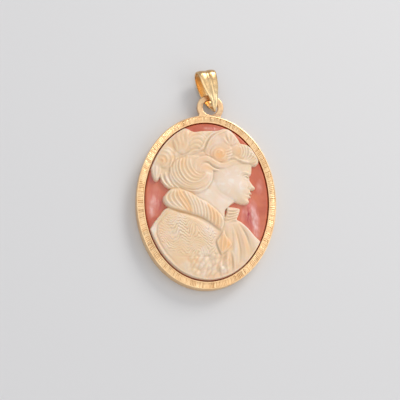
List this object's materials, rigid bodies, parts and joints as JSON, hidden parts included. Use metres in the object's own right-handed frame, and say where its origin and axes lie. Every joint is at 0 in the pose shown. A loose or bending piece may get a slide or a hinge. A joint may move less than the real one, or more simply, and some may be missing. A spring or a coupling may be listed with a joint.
{
  "type": "cameo pendant",
  "caption": "Oval cameo pendant: a gold frame with a milled rim holds a shell carved with a bust in profile, and a fluted bail swings on its eyelet.",
  "frame": {"origin": "middle of the oval, in the plane of the frame's back, on which the pendant lies", "axes": "+Y from the middle of the oval to the bail, +Z out of the carved front, +X to the right as seen from the front"},
  "size_m": [0.024, 0.039, 0.0037],
  "materials": {
    "frame_gold": "satin yellow gold, milled on the front rim",
    "orange_shell": "polished orange shell",
    "cream_shell": "carved cream shell with a soft gloss",
    "bail_gold": "polished yellow gold"
  },
  "bodies": {
    "pendant": {"frame": "frame_gold", "shell_ground": "orange_shell", "shell_relief": "cream_shell"},
    "bail": {"bail": "bail_gold"}
  },
  "joints": [
    {"name": "bail_swing", "type": "hinge", "parent": "pendant", "child": "bail", "pos_m": [-0.0001, 0.01875, 0.0015], "axis": [1, 0, 0], "range_deg": [0, 100]}
  ]
}
